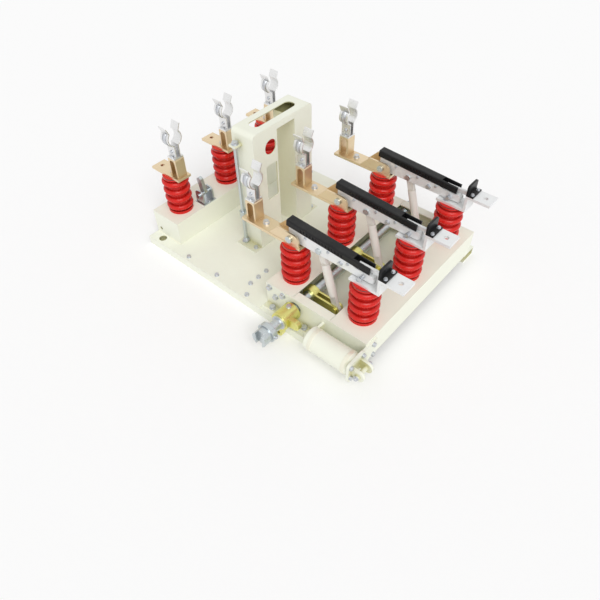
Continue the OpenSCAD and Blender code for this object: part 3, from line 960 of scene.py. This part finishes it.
def tube_hardware(sizes):
    """Screws of the spring tube's end plate and clevis and of the trip bracket, and the tube's bands."""
    core_inset, plate_thickness, clevis_x, clevis_y = 0.035, 0.008, 0.020, 0.028
    low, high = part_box("spring_tube")
    core = Vector((0, low.y + core_inset, (low.z + high.z) / 2))
    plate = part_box("contact_beam")[1].x + plate_thickness
    spots = [
        ((plate, core.y + y, core.z + z), ENDS[1], sizes.medium)
        for y in (-0.026, 0.026, 0.072)
        for z in (-0.018, 0.023)
    ]
    for side in SIDES:
        spots.append(((plate + clevis_x, core.y + side.y * clevis_y, core.z), side, sizes.medium))
    base_thickness, base_x = 0.004, 0.017
    base = middle("trip_bracket")
    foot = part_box("trip_bracket")[0].z + base_thickness
    spots += [((base.x + x, base.y, foot), UP, sizes.small) for x in (-base_x, base_x)]
    fasten("drive_screws", "frame", spots)
    band_radius, band_width = 0.0342, 0.012
    first_band, last_band = low.x + 0.024, plate - 0.030
    bands = [((x, core.y, core.z), ENDS[1], band_radius) for x in (first_band, last_band)]
    collars("tube_bands", "frame", "frame_paint", bands, band_width)


def shaft_hardware(sizes):
    """Screws of the coupling and the lever, and the rings on the shaft."""
    clamp_inset, lever_inset, hub_radius = 0.008, 0.040, 0.0275
    ring_radius, ring_width, ring_gap = 0.022, 0.005, 0.006
    shaft = middle("main_shaft")
    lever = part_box("operating_lever")[0].y
    low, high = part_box("drive_coupling")
    spots = [
        ((low.x, high.y - clamp_inset, shaft.z), ENDS[0], sizes.small),
        ((high.x, high.y - clamp_inset, shaft.z), ENDS[1], sizes.small),
        ((shaft.x, lever + lever_inset, shaft.z + hub_radius), UP, sizes.medium),
    ]
    fasten("shaft_screws", "shaft", spots)
    rings = [((shaft.x, y, shaft.z), SIDES[0], ring_radius) for y in (lever, high.y + ring_gap)]
    rings.append(((shaft.x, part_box("rear_side_plate")[1].y, shaft.z), SIDES[1], ring_radius))
    collars("shaft_rings", "shaft", "bright_steel", rings, ring_width)


class SWITCH_OT_drive_hardware(bpy.types.Operator):
    """Screws, bands and collars of the spring tube, the shaft fittings and the trip bracket"""

    bl_idname = "switch.drive_hardware"
    bl_label = "Drive hardware"

    def execute(self, context):
        sizes = context.scene.switch_hardware
        tube_hardware(sizes)
        shaft_hardware(sizes)
        return {"FINISHED"}


def lay_floor(scene):
    """Wide floor of matt white paper."""
    reach = 60
    corners = [(-reach, -reach, 0), (reach, -reach, 0), (reach, reach, 0), (-reach, reach, 0)]
    floor = bpy.data.meshes.new("floor")
    floor.from_pydata(corners, [], [(0, 1, 2, 3)])
    plane = bpy.data.objects.new("floor", floor)
    scene.collection.objects.link(plane)
    paper = bpy.data.materials.new("studio_paper")
    paper.use_nodes = True
    shader = paper.node_tree.nodes["Principled BSDF"]
    shader.inputs["Base Color"].default_value = (0.985, 0.985, 0.985, 1)
    shader.inputs["Roughness"].default_value = 0.9
    shader.inputs["Specular IOR Level"].default_value = 0.0
    floor.materials.append(paper)


def light_sky(scene, settings):
    """Soft white sky, which camera, glossy and transmitted rays see at the backdrop's brightness."""
    world = scene.world or bpy.data.worlds.new("studio")
    scene.world = world
    world.use_nodes = True
    tree = world.node_tree
    rays = node(tree, "ShaderNodeLightPath")
    seen = rays.outputs["Is Camera Ray"]
    for ray in ("Is Glossy Ray", "Is Transmission Ray"):
        either = node(tree, "ShaderNodeMath", {0: seen, 1: rays.outputs[ray]}, operation="MAXIMUM")
        seen = either.outputs["Value"]
    level = node(
        tree, "ShaderNodeMapRange", {"Value": seen, "To Min": settings.sky, "To Max": settings.backdrop}
    )
    back = tree.nodes["Background"]
    back.inputs["Color"].default_value = (1, 1, 1, 1)
    tree.links.new(level.outputs["Result"], back.inputs["Strength"])


def hang_key_light(scene, settings):
    """Broad key light from the drive side, above the cable contacts."""
    way = Vector((-0.72, 0.55, -0.98))
    lamp = bpy.data.lights.new("key", "SUN")
    lamp.energy = settings.sun
    lamp.angle = math.radians(38)
    holder = bpy.data.objects.new("key", lamp)
    holder.location = (1.6, -1.2, 2.2)
    holder.rotation_euler = way.to_track_quat("-Z", "Y").to_euler()
    scene.collection.objects.link(holder)


def place_camera(scene, settings):
    """Camera at the photograph's place and angle."""
    camera = bpy.data.cameras.new("camera")
    camera.lens = settings.lens
    camera.sensor_width = 36.0
    camera.clip_end = 200.0
    eye = bpy.data.objects.new("camera", camera)
    around, above = math.radians(settings.azimuth), math.radians(settings.elevation)
    level, rise = math.cos(above), math.sin(above)
    outward = Vector((math.sin(around) * level, -math.cos(around) * level, rise))
    turn = (-outward).to_track_quat("-Z", "Y").to_matrix()
    turn = turn @ Matrix.Rotation(math.radians(settings.roll), 3, "Z")
    eye.matrix_world = Matrix.Translation(settings.eye) @ turn.to_4x4()
    scene.collection.objects.link(eye)
    scene.camera = eye


class SWITCH_OT_studio(bpy.types.Operator):
    """Pale floor, soft light and the camera of the photograph"""

    bl_idname = "switch.studio"
    bl_label = "Studio"

    def execute(self, context):
        settings = context.scene.switch_studio
        lay_floor(context.scene)
        light_sky(context.scene, settings)
        hang_key_light(context.scene, settings)
        place_camera(context.scene, settings)
        context.scene.view_settings.view_transform = "Standard"
        return {"FINISHED"}


class SWITCH_PT_panel(bpy.types.Panel):
    """Settings and steps of the switch's looks"""

    bl_idname = "SWITCH_PT_panel"
    bl_label = "Load Break Switch"
    bl_space_type = "VIEW_3D"
    bl_region_type = "UI"
    bl_category = "Switch"

    def draw(self, context):
        scene = context.scene
        for settings in (scene.switch_finish, scene.switch_hardware, scene.switch_studio):
            box = self.layout.box()
            for key in settings.__annotations__:
                box.prop(settings, key)
        for step in STEPS:
            self.layout.operator(step.bl_idname)


SETTINGS = (SwitchFinishSettings, SwitchHardwareSettings, SwitchStudioSettings)
STEPS = (
    SWITCH_OT_finishes,
    SWITCH_OT_frame_hardware,
    SWITCH_OT_clip_hardware,
    SWITCH_OT_contact_hardware,
    SWITCH_OT_blade_hardware,
    SWITCH_OT_drive_hardware,
    SWITCH_OT_studio,
)


def register():
    """Register the classes and give the scene its settings."""
    for cls in (*SETTINGS, *STEPS, SWITCH_PT_panel):
        bpy.utils.register_class(cls)
    bpy.types.Scene.switch_finish = bpy.props.PointerProperty(type=SwitchFinishSettings)
    bpy.types.Scene.switch_hardware = bpy.props.PointerProperty(type=SwitchHardwareSettings)
    bpy.types.Scene.switch_studio = bpy.props.PointerProperty(type=SwitchStudioSettings)


def unregister():
    """Take the settings and the classes away again."""
    del bpy.types.Scene.switch_studio
    del bpy.types.Scene.switch_hardware
    del bpy.types.Scene.switch_finish
    for cls in reversed((*SETTINGS, *STEPS, SWITCH_PT_panel)):
        bpy.utils.unregister_class(cls)


def main():
    """Run every step in order."""
    register()
    bpy.ops.switch.finishes()
    bpy.ops.switch.frame_hardware()
    bpy.ops.switch.clip_hardware()
    bpy.ops.switch.contact_hardware()
    bpy.ops.switch.blade_hardware()
    bpy.ops.switch.drive_hardware()
    bpy.ops.switch.studio()


if __name__ == "__main__":
    main()
